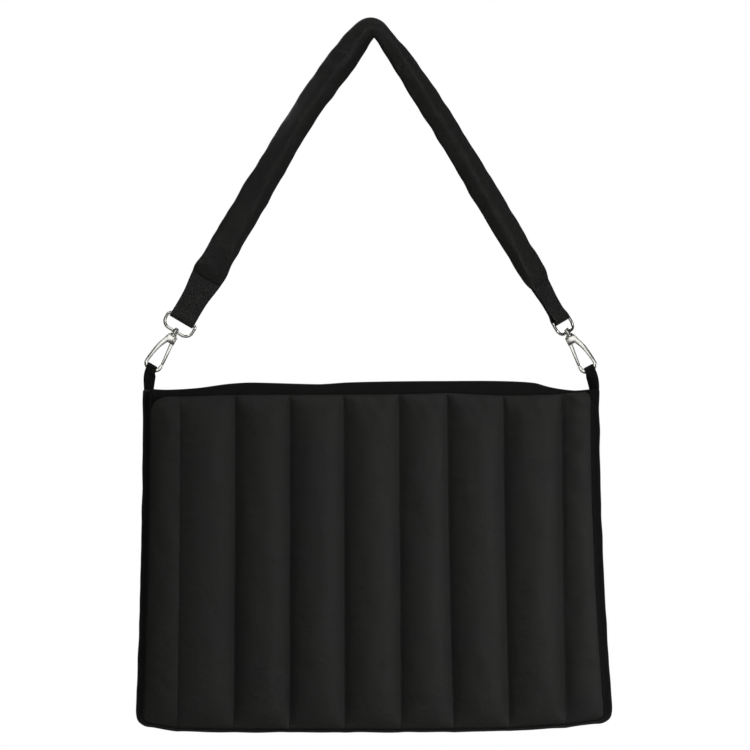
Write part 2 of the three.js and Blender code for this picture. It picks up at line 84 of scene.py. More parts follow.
# %% Node helpers
def linear(hex_colour):
    channels = [int(hex_colour[k:k + 2], 16) / 255 for k in (1, 3, 5)]
    return (*(c / 12.92 if c <= 0.04045 else ((c + 0.055) / 1.055) ** 2.4 for c in channels), 1)


def add_node(tree, kind, sockets=None, **options):
    node = tree.nodes.new(kind)
    for name, value in options.items():
        setattr(node, name, value)
    for name, value in (sockets or {}).items():
        if isinstance(value, bpy.types.NodeSocket):
            tree.links.new(value, node.inputs[name])
        else:
            node.inputs[name].default_value = value
    return node


def new_material(name):
    material = bpy.data.materials.new(name)
    material.use_nodes = True
    material.node_tree.nodes.clear()
    return material, material.node_tree


def surface(tree, sockets):
    shader = add_node(tree, "ShaderNodeBsdfPrincipled", sockets)
    add_node(tree, "ShaderNodeOutputMaterial", {"Surface": shader.outputs[0]})


print("near black in linear light:", [round(c, 4) for c in linear("#202020")])

# %% [markdown]
# ## Studio
#
# The picture has a pure white ground, a soft key light from above, and a smaller one close by on the right,
# which leaves the left of the bag darker. A narrow strip light picks out the left leg of the strap, and
# there is very little fill. A white world would do for the ground, but its light would flatten the puffs,
# so the world is white for the camera alone and dim for everything that it lights. A large card behind the
# camera gives the flat metal faces something bright to mirror, as a photographer's card does. The pale
# floor lies under the hanging bag, just out of the picture. Its paper glows a little, again for the camera
# alone, so that it stays pale in the other views.

# %% Studio
WHITE = (1, 1, 1, 1)
WORLD_LIGHT, PAPER_GLOW = 0.04, 0.55
FLOOR_Z, FLOOR_RADIUS = -0.66, 0.8

world = bpy.data.worlds.new("white_ground")
bpy.context.scene.world = world
world.use_nodes = True
world.node_tree.nodes.clear()
ray = add_node(world.node_tree, "ShaderNodeLightPath")
ground = add_node(world.node_tree, "ShaderNodeBackground", {"Color": WHITE, "Strength": 1.0})
glow = add_node(world.node_tree, "ShaderNodeBackground", {"Color": WHITE, "Strength": WORLD_LIGHT})
sky = add_node(world.node_tree, "ShaderNodeMixShader",
               {0: ray.outputs["Is Camera Ray"], 1: glow.outputs[0], 2: ground.outputs[0]})
add_node(world.node_tree, "ShaderNodeOutputWorld", {"Surface": sky.outputs[0]})
bpy.context.scene.view_settings.view_transform = "Standard"


def softbox(name, place, aim, side, radiance, spread):
    light = bpy.data.lights.new(name, "AREA")
    light.size = side
    light.spread = math.radians(spread)
    light.energy = radiance * math.pi * side ** 2
    lamp = bpy.data.objects.new(name, light)
    bpy.context.collection.objects.link(lamp)
    lamp.location = place
    lamp.rotation_euler = (Vector(aim) - Vector(place)).to_track_quat("-Z", "Y").to_euler()
    lamp.visible_camera = False


BAG_MIDDLE = (0, 0, -0.42)
LIGHTS = (  # name, place, aim, side in metres, radiance, and the spread of its grid in degrees
    ("key_above", (0.81, -1.16, 1.27), BAG_MIDDLE, 1.2, 2.25, 180),
    ("side_right", (0.95, -0.95, -0.42), (0.12, 0, -0.46), 0.5, 0.5, 42),
    ("fill_left", (-1.6, -1.6, 0.2), BAG_MIDDLE, 1.0, 0.3, 180),
    ("strip_left", (-0.6, -0.75, 0.85), (-0.09, 0, -0.05), 0.4, 0.27, 25),
    ("card_behind_camera", (0, -8.0, 0.3), BAG_MIDDLE, 3.0, 1.5, 180),
    ("rim_back", (-0.6, 1.6, 0.6), BAG_MIDDLE, 1.2, 2.4, 180),
)
for light in LIGHTS:
    softbox(*light)

bm = bmesh.new()
bmesh.ops.create_circle(bm, cap_ends=True, segments=96, radius=FLOOR_RADIUS,
                        matrix=Matrix.Translation((0, 0, FLOOR_Z)))
floor_mesh = bpy.data.meshes.new("studio_floor")
bm.to_mesh(floor_mesh)
bm.free()
studio_floor = bpy.data.objects.new("studio_floor", floor_mesh)
bpy.context.collection.objects.link(studio_floor)
# Matt paper: one even pale tone with a soft shadow and no highlight.
paper, tree = new_material("white seamless paper")
paper_ray = add_node(tree, "ShaderNodeLightPath")
lit = add_node(tree, "ShaderNodeMath", {0: paper_ray.outputs["Is Camera Ray"], 1: PAPER_GLOW},
               operation="MULTIPLY")
surface(tree, {"Base Color": linear("#f2f2f0"), "Roughness": 0.9, "Specular IOR Level": 0.1,
               "Emission Color": WHITE, "Emission Strength": lit.outputs[0]})
floor_mesh.materials.append(paper)

# %% [markdown]
# ## Nylon, binding and webbing
#
# The panels and the strap are nylon taffeta, a tight plain weave with a faint sheen. The gusset and bands
# are the same cloth, laid plain, and the tabs are ribbed webbing. All three are woven, so one function
# makes them: threads that run across and along, slow drifts of colour, and the fine crumple of cloth over
# wadding. The pattern follows the piece's own UV map, which holds lengths of cloth in metres, so it bends
# with every fold. Real threads are about 0.2 mm apart, a quarter of one pixel here. They are drawn wider,
# so that they show close to, and low, so that they don't shimmer from afar.

# %% Woven cloth
DRIFT_WIDE, CREASE_WIDE, CREASE_DEEP, THREAD_DEEP = 60.0, 9.0, 2.0, 0.2  # millimetres
ROUGHNESS_SWING, NYLON_IOR = 0.06, 1.53


def woven_cloth(name, thread, dark, light, shine, sheen, roughness, relief, crumple):
    material, tree = new_material(name)
    cloth = add_node(tree, "ShaderNodeUVMap", uv_map="cloth").outputs["UV"]

    # Threads: a sine across times a sine along is the over and under of a plain weave.
    scale = math.pi / (thread * MM)
    turns = add_node(tree, "ShaderNodeVectorMath", {0: cloth, 1: (scale, scale, 0)}, operation="MULTIPLY")
    waves = add_node(tree, "ShaderNodeVectorMath", {0: turns.outputs[0]}, operation="SINE")
    both = add_node(tree, "ShaderNodeSeparateXYZ", {0: waves.outputs[0]})
    weave = add_node(tree, "ShaderNodeMath", {0: both.outputs[0], 1: both.outputs[1]}, operation="MULTIPLY")

    # Slow drifts of colour, and the crumple that also varies the shine.
    drift = add_node(tree, "ShaderNodeTexNoise",
                     {"Vector": cloth, "Scale": 1 / (DRIFT_WIDE * MM), "Detail": 3.0})
    crease = add_node(tree, "ShaderNodeTexNoise",
                      {"Vector": cloth, "Scale": 1 / (CREASE_WIDE * MM), "Detail": 4.0, "Distortion": 0.8})
    colour = add_node(tree, "ShaderNodeMix",
                      {0: drift.outputs["Fac"], 6: linear(dark), 7: linear(light)},
                      data_type="RGBA")
    rough = add_node(tree, "ShaderNodeMapRange",
                     {"Value": crease.outputs["Fac"], "To Min": roughness - ROUGHNESS_SWING,
                      "To Max": roughness + ROUGHNESS_SWING})

    folds = add_node(tree, "ShaderNodeBump",
                     {"Height": crease.outputs["Fac"], "Strength": crumple, "Distance": CREASE_DEEP * MM})
    threads = add_node(tree, "ShaderNodeBump",
                       {"Height": weave.outputs[0], "Strength": relief, "Distance": THREAD_DEEP * MM,
                        "Normal": folds.outputs[0]})
    surface(tree, {"Base Color": colour.outputs[2], "Roughness": rough.outputs[0],
                   "Normal": threads.outputs[0], "IOR": NYLON_IOR, "Specular IOR Level": shine,
                   "Sheen Weight": sheen, "Sheen Roughness": 0.4})
    return material


# Taffeta: near black, with a soft broad shine on each puff and a faint bloom where the cloth turns away.
taffeta = woven_cloth("nylon taffeta, woven", thread=0.8, dark="#29292a", light="#2d2d2a", shine=0.14,
                      sheen=0.03, roughness=0.58, relief=0.15, crumple=0.3)
# Binding: a shade darker and flatter, so that the plain strips frame the quilting.
binding = woven_cloth("nylon binding, plain woven", thread=0.9, dark="#151516", light="#191918", shine=0.10,
                      sheen=0.0, roughness=0.65, relief=0.25, crumple=0.2)
# Webbing: as dark as the binding, with a raised weave that breaks it into fine lines close to.
webbing = woven_cloth("nylon webbing, ribbed", thread=1.1, dark="#151516", light="#1a1a19", shine=0.10,
                      sheen=0.0, roughness=0.65, relief=0.6, crumple=0.05)
print("cloths:", taffeta.name, "|", binding.name, "|", webbing.name)

# %% [markdown]
# ## Plated metal
#
# The hooks and rings are zinc castings with polished nickel plate: bright, a little warm, and never quite
# flat, because the casting was tumbled before it was plated. That last part is a low bump about 2 mm wide,
# and finer hairlines lift the roughness here and there.

# %% Plated metal
TUMBLE_WIDE, TUMBLE_DEEP, HAIRLINE_WIDE = 2.0, 0.3, 0.5  # millimetres

# Bright and slightly warm, with reflections that waver along the casting and blur where it was rubbed.
nickel, tree = new_material("nickel-plated zinc, tumbled and polished")
place = add_node(tree, "ShaderNodeTexCoord").outputs["Object"]
tumble = add_node(tree, "ShaderNodeTexNoise",
                  {"Vector": place, "Scale": 1 / (TUMBLE_WIDE * MM), "Detail": 2.0})
hairlines = add_node(tree, "ShaderNodeTexNoise",
                     {"Vector": place, "Scale": 1 / (HAIRLINE_WIDE * MM), "Detail": 4.0})
polish = add_node(tree, "ShaderNodeMapRange",
                  {"Value": hairlines.outputs["Fac"], "To Min": 0.10, "To Max": 0.26})
tint = add_node(tree, "ShaderNodeMix",
                {0: tumble.outputs["Fac"], 6: linear("#c9c8c2"), 7: linear("#e2e1dc")},
                data_type="RGBA")
dents = add_node(tree, "ShaderNodeBump",
                 {"Height": tumble.outputs["Fac"], "Strength": 0.12, "Distance": TUMBLE_DEEP * MM})
surface(tree, {"Base Color": tint.outputs[2], "Metallic": 1.0, "Roughness": polish.outputs[0],
               "Normal": dents.outputs[0]})
print("metal:", nickel.name)

# %% [markdown]
# ## A grid laid through rows of points
#
# Cloth starts as a flat grid of threads, and so does every soft piece here: `create_grid` makes the mesh,
# and each vertex then goes to its place in a table of rows. Rows that end where they began are welded into
# a tube. A curve with a bevel could make a strap as well, but then the weave wouldn't know how long the
# cloth is. The UV map is measured from the rows, in metres: across first, along second.

# %% A grid laid through rows of points
WELD = 0.01 * MM


def lengths(points):
    total = [0.0]
    for a, b in zip(points, points[1:]):
        total.append(total[-1] + (b - a).length)
    return total


def laid_grid(rows):
    down, across = len(rows), len(rows[0])
    bm = bmesh.new()
    bmesh.ops.create_grid(bm, x_segments=across - 1, y_segments=down - 1, size=0.5)
    row_number = bm.verts.layers.int.new("row")
    column_number = bm.verts.layers.int.new("column")
    for vert in bm.verts:
        vert[column_number] = round((vert.co.x + 0.5) * (across - 1))
        vert[row_number] = round((vert.co.y + 0.5) * (down - 1))
    along = lengths([row[across // 2] for row in rows])
    broad = lengths(rows[down // 2])
    uv = bm.loops.layers.uv.new("cloth")
    for face in bm.faces:
        for loop in face.loops:
            loop[uv].uv = (broad[loop.vert[column_number]], along[loop.vert[row_number]])
    for vert in bm.verts:
        vert.co = rows[vert[row_number]][vert[column_number]]
    bmesh.ops.remove_doubles(bm, verts=bm.verts, dist=WELD)
    return bm


def new_piece(name, bm, material):
    mesh = bpy.data.meshes.new(name)
    bm.to_mesh(mesh)
    bm.free()
    mesh.shade_smooth()
    mesh.materials.append(material)
    piece = bpy.data.objects.new(name, mesh)
    bpy.context.collection.objects.link(piece)
    return piece


@contextmanager
def reopened(piece):
    bm = bmesh.new()
    bm.from_mesh(piece.data)
    yield bm
    bm.to_mesh(piece.data)
    bm.free()


def apply_modifiers(piece):
    shown = piece.evaluated_get(bpy.context.evaluated_depsgraph_get())
    piece.data = bpy.data.meshes.new_from_object(shown)
    piece.modifiers.clear()


def soften(piece, levels):
    smooth = piece.modifiers.new("soft cloth", "SUBSURF")
    smooth.levels = smooth.render_levels = levels


def dress(piece, node, body="bag"):
    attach(piece, body)
    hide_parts(node)


def ribbon(name, node, rows, material, thickness, levels):
    """A strip of cloth laid through rows of points, with its thickness and soft edges."""
    strip = new_piece(name, laid_grid(rows), material)
    wall = strip.modifiers.new("cloth thickness", "SOLIDIFY")
    wall.thickness, wall.offset = thickness * MM, 0
    soften(strip, levels)
    dress(strip, node)
    return strip


test_grid = laid_grid([[Vector((x, 0, z)) for x in range(3)] for z in range(4)])
print("a test grid has", len(test_grid.verts), "vertices")
test_grid.free()

# %% [markdown]
# ## Stuffing by simulation
#
# A puff is two cloths with wadding between them, sewn together along lines. Its outer cloth is cut wider
# than the lining, and the wadding pushes the extra out. Blender's cloth simulation does the same: the sewn
# lines are pinned, pressure stands for the wadding, and a second shape of the mesh, a shape key, holds the
# sizes that the cloth was cut to. Each vertex weighs the same however small its faces are, so facets of 3
# mm need a pressure far above that of real wadding, and the panels take the highest that Blender allows. A
# low pressure moves hardly anything here.

# %% Stuffing
CLOTH_SETTINGS = {"quality": 6, "mass": 0.12, "shear_stiffness": 6, "bending_stiffness": 0.4,
                  "air_damping": 2, "vertex_group_mass": "sewn", "use_pressure": True}


def stuff(piece, pinned, cut, pressure, stiffness, frames, cap):
    """Blows a sewn piece up. pinned says which vertices are sewn, and cut where the flat cut has each."""
    start = [v.co.copy() for v in piece.data.vertices]
    sewn = piece.vertex_groups.new(name="sewn")
    sewn.add([v.index for v in piece.data.vertices if pinned[v.index]], 1.0, "REPLACE")
    piece.shape_key_add(name="sewn shape", from_mix=False)
    pattern = piece.shape_key_add(name="flat cut", from_mix=False)
    for point, place in zip(pattern.data, cut):
        point.co = place
    cloth = piece.modifiers.new("wadding", "CLOTH")
    for setting, value in CLOTH_SETTINGS.items():
        setattr(cloth.settings, setting, value)
    cloth.settings.tension_stiffness = cloth.settings.compression_stiffness = stiffness
    cloth.settings.rest_shape_key = pattern
    cloth.settings.uniform_pressure_force = pressure
    cloth.settings.effector_weights.gravity = 0
    cloth.collision_settings.use_collision = False
    cloth.point_cache.frame_start, cloth.point_cache.frame_end = 1, frames
    for step in range(1, frames + 1):
        bpy.context.scene.frame_set(step)
    stuffed = bpy.data.meshes.new_from_object(piece.evaluated_get(bpy.context.evaluated_depsgraph_get()))
    moved = 0.0
    for vert, home in zip(stuffed.vertices, start):
        step = vert.co - home
        if step.length > cap:
            vert.co = home + step * (cap / step.length)
        moved = max(moved, step.length)
    piece.modifiers.remove(cloth)
    piece.shape_key_clear()
    piece.data = stuffed
    bpy.context.scene.frame_set(1)
    return moved


# %% [markdown]
# ## Quilted panels
#
# Each panel has nine sewn channels, narrow ones at the sides, and flares towards its foot. Its outer cloth
# is a grid with a column of vertices on every seam and more columns close to it, where the cloth turns
# sharply. It is laid flat between the seams, which thread draws in below the hems. The cut has an arch over
# every channel, lower towards the hems, where the fullness is gathered in, and the stuffing lifts the cloth
# by up to 8 mm. The first seam is loose, so the wadding carries it outwards and it hardly shows. The finest
# wrinkles, along the seams and below the top hem, are smaller than the simulation can fold. They are added
# afterwards from noise. Last, the cloth is closed behind by a rim as deep as the hem and by a flat lining.

# %% Panel pattern
QUILT = (  # side edges and seams: X at the top and at the foot, Z of the top hem and of the foot hem
    (-193.6, -200.1, -312.3, -595.5),
    (-167.6, -170.1, -312.3, -599.8),
    (-120.2, -121.8, -311.0, -600.7),
    (-73.0, -73.2, -310.8, -600.7),
    (-26.1, -25.0, -310.6, -600.7),
    (22.1, 23.9, -310.3, -600.7),
    (64.0, 69.6, -309.2, -600.3),
    (112.7, 117.8, -311.6, -599.4),
    (163.0, 167.1, -310.2, -596.4),
    (187.8, 199.9, -308.0, -592.5),
)
CHANNELS = len(QUILT) - 1
FACE_DEPTH, LINING_DEPTH = 17.0, 12.4  # from the middle of the bag to the sewn face and to the lining
FLARE = 1.9  # how late the sides spread on their way down
TOP_CORNERS, FOOT_CORNER = (13.0, 4.5), 4.5  # radii: left and right at the top, both at the foot
FACET, CLOSER_AT_SEAMS, CLOTH_ROWS = 3.0, 0.7, 96
GATHERED, FOOT_GATHERED = 15.0, 24.0  # how far the hems hold the fullness in
SEAM_SUNK, LOOSE_SEAM, LOOSE_SEAM_RISE = 2.4, 1, 4.0


def mix(a, b, share):
    return a + (b - a) * share


def corner_inset(from_hem, radius):
    return radius - math.sqrt(radius ** 2 - (radius - from_hem) ** 2) if from_hem < radius else 0.0


def quilt_place(seam, up, top_corners=TOP_CORNERS):
    """X and Z at a seam number, with a fraction between seams, how full the puff is there, and its width."""
    channel = min(int(seam), CHANNELS - 1)
    across = seam - channel
    near, far = QUILT[channel], QUILT[channel + 1]
    top, foot = mix(near[2], far[2], across), mix(near[3], far[3], across)
    z = mix(foot, top, up)
    inset = max(corner_inset(top - z, top_corners[channel > 0]), corner_inset(z - foot, FOOT_CORNER))
    down = (1 - up) ** FLARE
    near_x = mix(near[0], near[1], down) + (inset if channel == 0 else 0)
    far_x = mix(far[0], far[1], down) - (inset if channel == CHANNELS - 1 else 0)
    below_hem = 1 - min((top - z) / GATHERED, 1)
    fullness = math.sqrt(1 - below_hem ** 2) * math.sin(math.pi / 2 * min((z - foot) / FOOT_GATHERED, 1))
    return mix(near_x, far_x, across), z, fullness, far_x - near_x


def seam_sink(seam):
    """How far a seam is drawn in below the hem. The wadding carries the loose one outwards."""
    return (-LOOSE_SEAM_RISE if seam == LOOSE_SEAM else SEAM_SUNK) if seam in range(1, CHANNELS) else 0.0


seams = []
for channel in range(CHANNELS):
    width = QUILT[channel + 1][0] - QUILT[channel][0]
    steps = round(width / FACET)
    for step in range(steps):
        even, bunched = step / steps, (1 - math.cos(math.pi * step / steps)) / 2
        seams.append(channel + mix(even, bunched, CLOSER_AT_SEAMS))
seams.append(CHANNELS)
ups = [step / CLOTH_ROWS for step in range(CLOTH_ROWS + 1)]
print(len(seams), "columns and", len(ups), "rows of cloth")

# %% Panel cloth
CUT_ARCH, CUT_LONGER = 0.28, 1.015  # the cut's arch per channel width, and its length
HEM_CUT, CUT_SLACK, LOOSE_CUT = 0.3, 0.15, 0.75  # shares of the arch: at a hem, at random, by the loose seam
DRAPE, PUCKER, GATHER = 1.1, 4.0, 7.0  # heights of the wrinkles: everywhere, at the seams, below the top hem
DRAPE_WIDE, DRAPE_TALL, PUCKER_TALL = 15, 26, 8
GATHER_WIDE, GATHER_SLANT, GATHER_TALL = 5, 9, 20
PUCKER_FADES, GATHER_FADES, PANEL_TALL = 7.0, 11.0, 290
CREASE, LOOSE_CREASE = 0.9, 0.5


def ruffle(a, b, c):
    return noise.noise(Vector((a, b, c)))


def cloth_point(seam, up, seed):
    """Where a vertex is laid, where the cut has it, and the height of the wrinkle it gets afterwards."""
    x, z, fullness, width = quilt_place(seam, up)
    arch = math.sin(math.pi * (seam % 1))
    beside_loose = seam < LOOSE_SEAM + 1
    near, far = seam_sink(int(seam)), seam_sink(min(int(seam) + 1, CHANNELS))
    sunk = fullness * (mix(near, far, seam % 1) if beside_loose else seam_sink(seam))
    share = HEM_CUT + (1 - HEM_CUT) * fullness + CUT_SLACK * ruffle(seam * 1.7 + seed, up * 9, 0)
    cut_lift = CUT_ARCH * width * arch * share * (LOOSE_CUT if beside_loose else 1)
    laid = Vector((x, sunk - FACE_DEPTH, z)) * MM
    cut = Vector((x, sunk - FACE_DEPTH - cut_lift, z * CUT_LONGER)) * MM

    from_seam, below_hem = width * min(seam % 1, 1 - seam % 1), (1 - up) * PANEL_TALL
    drape = DRAPE * ruffle(x / DRAPE_WIDE + seed, z / DRAPE_TALL, 1.0) * arch
    pucker = ruffle(round(seam) * 7.3 + seed, z / PUCKER_TALL, 5.0) * arch
    pucker *= math.exp(-from_seam / PUCKER_FADES)
    gather = ruffle(x / GATHER_WIDE + z / GATHER_SLANT + seed, z / GATHER_TALL, 9.0) * arch
    gather *= math.exp(-below_hem / GATHER_FADES)
    slacker = 0.5 + seam / CHANNELS  # the right of the bag is creased more than the left
    return laid, cut, fullness * (drape + slacker * (PUCKER * pucker + GATHER * gather))


def crease_seams(bm):
    crease = bm.edges.layers.float.new("crease_edge")
    column = bm.verts.layers.int["column"]
    for edge in bm.edges:
        a, b = edge.verts
        if a[column] == b[column] and seams[a[column]] % 1 == 0:
            edge[crease] = LOOSE_CREASE if seams[a[column]] == LOOSE_SEAM else CREASE


print("one vertex, laid and cut:", [[round(c, 4) for c in place] for place in cloth_point(4.5, 0.5, 0.0)[:2]])

# %% Quilted panels
WADDING_PRESSURE, PANEL_STIFFNESS, PANEL_FRAMES, PANEL_CAP = 10000.0, 13, 26, 16.0
PUFF_LIMIT = 24.0  # eases the highest puffs down a little


def close_behind(piece):
    """Turns the stuffed cloth's edge in as far as the lining, and fills the lining in flat."""
    with reopened(piece) as bm:
        rim = [edge for edge in bm.edges if edge.is_boundary]
        hem = bmesh.ops.extrude_edge_only(bm, edges=rim)["geom"]
        inner = [g for g in hem if isinstance(g, bmesh.types.BMVert)]
        bmesh.ops.translate(bm, vec=(0, (FACE_DEPTH - LINING_DEPTH) * MM, 0), verts=inner)
        lining = bmesh.ops.holes_fill(bm, edges=[edge for edge in bm.edges if edge.is_boundary])["faces"]
        for edge in lining[0].edges:
            edge.smooth = False
        bmesh.ops.triangulate(bm, faces=lining)


def quilted_panel(name, node, facing, seed):
    table = [[cloth_point(seam, up, seed) for seam in seams] for up in ups]
    rows = [[laid for laid, _, _ in row] for row in table]
    cut = [place for row in table for _, place, _ in row]
    wrinkles = [height for row in table for _, _, height in row]
    pinned = [seam % 1 == 0 or up in (0, 1) for up in ups for seam in seams]
    bm = laid_grid(rows)
    crease_seams(bm)
    piece = new_piece(name, bm, taffeta)
    moved = stuff(piece, pinned, cut, WADDING_PRESSURE, PANEL_STIFFNESS, PANEL_FRAMES, PANEL_CAP * MM)
    for vert, wrinkle in zip(piece.data.vertices, wrinkles):
        lift = -vert.co.y / MM - FACE_DEPTH
        vert.co.y = -(FACE_DEPTH + PUFF_LIMIT * math.tanh(lift / PUFF_LIMIT) + wrinkle) * MM
    print(f"{name}: the wadding lifts the cloth by up to {moved / MM:.1f} mm")
    soften(piece, 1)
    apply_modifiers(piece)
    close_behind(piece)
    if facing > 0:
        with reopened(piece) as bm:
            bmesh.ops.scale(bm, vec=(1, -1, 1), verts=bm.verts)
            bmesh.ops.reverse_faces(bm, faces=bm.faces)
    dress(piece, node)
    return piece


front = quilted_panel("quilted_front", "front_panel", -1, 0.0)
back = quilted_panel("quilted_back", "back_panel", 1, 40.0)
print("panels:", front.name, back.name, len(front.data.polygons), "faces each")

# %% [markdown]
# ## Quilting thread
#
# Each quilting line is a row of lockstitches, drawn tight into the valley between two puffs. A stitch is a
# stretched ball 2.7 mm long, set end to end with a gap where the thread dives, and all the rows of a panel
# are one piece. At the size of the picture they only darken the valley: the thread is drawn darker than the
# cloth, so there it is painted shade along each seam. Close to, they show that the bag is sewn.

# %% Quilting thread
STITCH_PITCH, STITCH_LENGTH, STITCH_THICK, THREAD_PROUD = 3.3, 2.7, 0.8, 0.2
FIBRE_WIDE, FIBRE_DEEP = 0.3, 0.1

# Thread: black, and drawn as the darkest cloth on the bag so that it lays painted shade along each valley,
# # with a fuzz that keeps each stitch from shining like a bead.
polyester, tree = new_material("polyester thread, black, darkened as painted shade")
place = add_node(tree, "ShaderNodeTexCoord").outputs["Object"]
fibres = add_node(tree, "ShaderNodeTexNoise", {"Vector": place, "Scale": 1 / (FIBRE_WIDE * MM)})
twist = add_node(tree, "ShaderNodeBump",
                 {"Height": fibres.outputs["Fac"], "Strength": 0.4, "Distance": FIBRE_DEEP * MM})
# The near-black base colour is real black thread, made darker than the cloth as painted shade in the seams.
surface(tree, {"Base Color": linear("#0e0e0e"), "Roughness": 0.7, "IOR": NYLON_IOR,
               "Specular IOR Level": 0.15, "Normal": twist.outputs[0]})

stitch = bpy.data.meshes.new("stitch")
bm = bmesh.new()
bmesh.ops.create_uvsphere(bm, u_segments=6, v_segments=5, radius=MM / 2)
bmesh.ops.scale(bm, vec=(STITCH_THICK, STITCH_THICK, STITCH_LENGTH), verts=bm.verts)
bm.to_mesh(stitch)
bm.free()


def sew(bm, points):
    """Sews along a line of points in millimetres: one stitch every pitch."""
    total = lengths(points)
    for number in range(int(total[-1] / STITCH_PITCH)):
        at = (number + 0.5) * STITCH_PITCH
        step = next(k for k in range(1, len(total)) if total[k] >= at)
        middle = mix(points[step - 1], points[step], (at - total[step - 1]) / (total[step] - total[step - 1]))
        lie = (points[step] - points[step - 1]).to_track_quat("Z", "Y").to_matrix().to_4x4()
        placed = stitch.copy()
        placed.transform(Matrix.Translation(middle * MM) @ lie)
        bm.from_mesh(placed)
        bpy.data.meshes.remove(placed)


def sewn_rows(name, lines):
    bm = bmesh.new()
    for line in lines:
        sew(bm, line)
    rows = new_piece(name, bm, polyester)
    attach(rows, "bag")
    print(name, len(rows.data.polygons), "faces")


for facing, name in ((-1, "quilting_thread_front"), (1, "quilting_thread_back")):
    lines = []
    for seam in range(1, CHANNELS):
        places = [quilt_place(seam, up) for up in ups]
        sink = seam_sink(seam) - THREAD_PROUD
        lines.append([Vector((x, facing * (FACE_DEPTH - sink * full), z)) for x, z, full, _ in places])
    sewn_rows(name, lines)

# %% [markdown]
# ## Gusset
#
# The gusset is one long strip of plain nylon, sewn to both panels down the sides and along the foot. It
# bows out between them, and its sewn edges roll into a narrow bead. Extruding a straight profile along the
# outline would leave it as stiff as sheet metal, so the strip is laid as a grid whose rows follow the
# panels' edge, with slow ripples between the beads, and Solidify gives it the cloth's thickness.

# %% Gusset
GAP, WALL = 0.3, 1.6
GUSSET_TOP = -306.2
LEFT_BULGE, RIGHT_BULGE, FOOT_BULGE, RIPPLE = 7.0, 7.8, 3.3, 0.7
SEAM_BITE = 0.9  # sewn into the panel's edge, so that no light comes through the seam
MEASURED_ROW = 60  # on the straight run down the left side
# Share of the way from the middle to the sewn edge, and how far the strip rolls up into a bead there.
BEAD = ((1.0, 0.0), (0.97, 0.5), (0.93, 0.5), (0.88, 0.0), (0.75, 0.0), (0.5, 0.0), (0.25, 0.0))
GUSSET_PROFILE = [(-share, roll) for share, roll in BEAD] + [(0.0, 0.0)] + list(reversed(BEAD))


def gusset_line():
    left = [quilt_place(0, up, (0, 0))[:2] for up in reversed(ups)]
    foot = [quilt_place(seam, 0, (0, 0))[:2] for seam in seams]
    right = [quilt_place(CHANNELS, up, (0, 0))[:2] for up in ups]
    corners = [(QUILT[0][0], GUSSET_TOP), *left, *foot[1:-1], *right, (QUILT[-1][0], GUSSET_TOP)]
    return [Vector(corner) for corner in corners]


def gusset_rows():
    line = gusset_line()
    for step, point in enumerate(line):
        run = (line[min(step + 2, len(line) - 1)] - line[max(step - 2, 0)]).normalized()
        outward = Vector((run.y, -run.x))
        bulge = mix(FOOT_BULGE, RIGHT_BULGE if outward.x > 0 else LEFT_BULGE, outward.x ** 2)
        row = []
        for share, roll in GUSSET_PROFILE:
            ripple = RIPPLE * ruffle(step * 0.16, share * 1.4, 3.0) * (1 - share ** 2)
            lift = WALL / 2 - SEAM_BITE + bulge * (1 - share ** 2) + roll + ripple
            place = point + outward * lift
            row.append(Vector((place.x, share * FACE_DEPTH, place.y)) * MM)
        yield row


gusset_grid = list(gusset_rows())
gusset = ribbon("plain_gusset", "gusset", gusset_grid, binding, WALL, 1)
gusset_length = lengths([row[len(row) // 2] for row in gusset_grid])[-1]
gusset_width = lengths(gusset_grid[MEASURED_ROW])[-1]
print(f"gusset strip: {gusset_width / MM:.0f} x {gusset_length / MM:.0f} mm")

# %% [markdown]
# ## Bands along the mouth
#
# A plain band finishes the mouth of the bag in front and behind. It is sewn behind the panel's top hem,
# stands about 10 mm above it, and sags between the places that hold it, which gives the mouth its wavering
# line. Its upper edge is a fold, and it stands 0.8 mm above that line. The grid follows the line,
# leans to and fro by less than a millimetre, and gets its thickness from Solidify.

# %% Bands along the mouth
BAND_TOP = (  # X and Z along the mouth
    (-197.5, -306.2), (-181.8, -307.1), (-151.4, -305.4), (-129.6, -302.3), (-107.9, -300.8), (-47.0, -302.3),
    (-25.2, -300.8), (66.1, -299.5), (140.0, -301.2), (151.4, -304.5), (174.9, -307.8), (192.1, -306.2),
)
BAND_TUCK, BAND_FOLD, BAND_LEAN = 9.0, 0.8, 0.6
BAND_COLUMNS, BAND_ROWS = 150, 9


def through(rows, share):
    """A smooth line through a table's rows. Its knots are spaced so that a tight corner makes no loop."""
    points = [Vector(row) for row in rows]
    points = [2 * points[0] - points[1], *points, 2 * points[-1] - points[-2]]
    knots = [0.0]
    for a, b in zip(points, points[1:]):
        knots.append(knots[-1] + (b - a).length ** 0.5)
    span = min(int(share * (len(rows) - 1)), len(rows) - 2)
    t = mix(knots[span + 1], knots[span + 2], share * (len(rows) - 1) - span)
    level, order = points[span:span + 4], 1
    while len(level) > 1:
        level = [mix(a, b, (t - knots[span + k]) / (knots[span + k + order] - knots[span + k]))
                 for k, (a, b) in enumerate(zip(level, level[1:]))]
        order += 1
    return level[0]


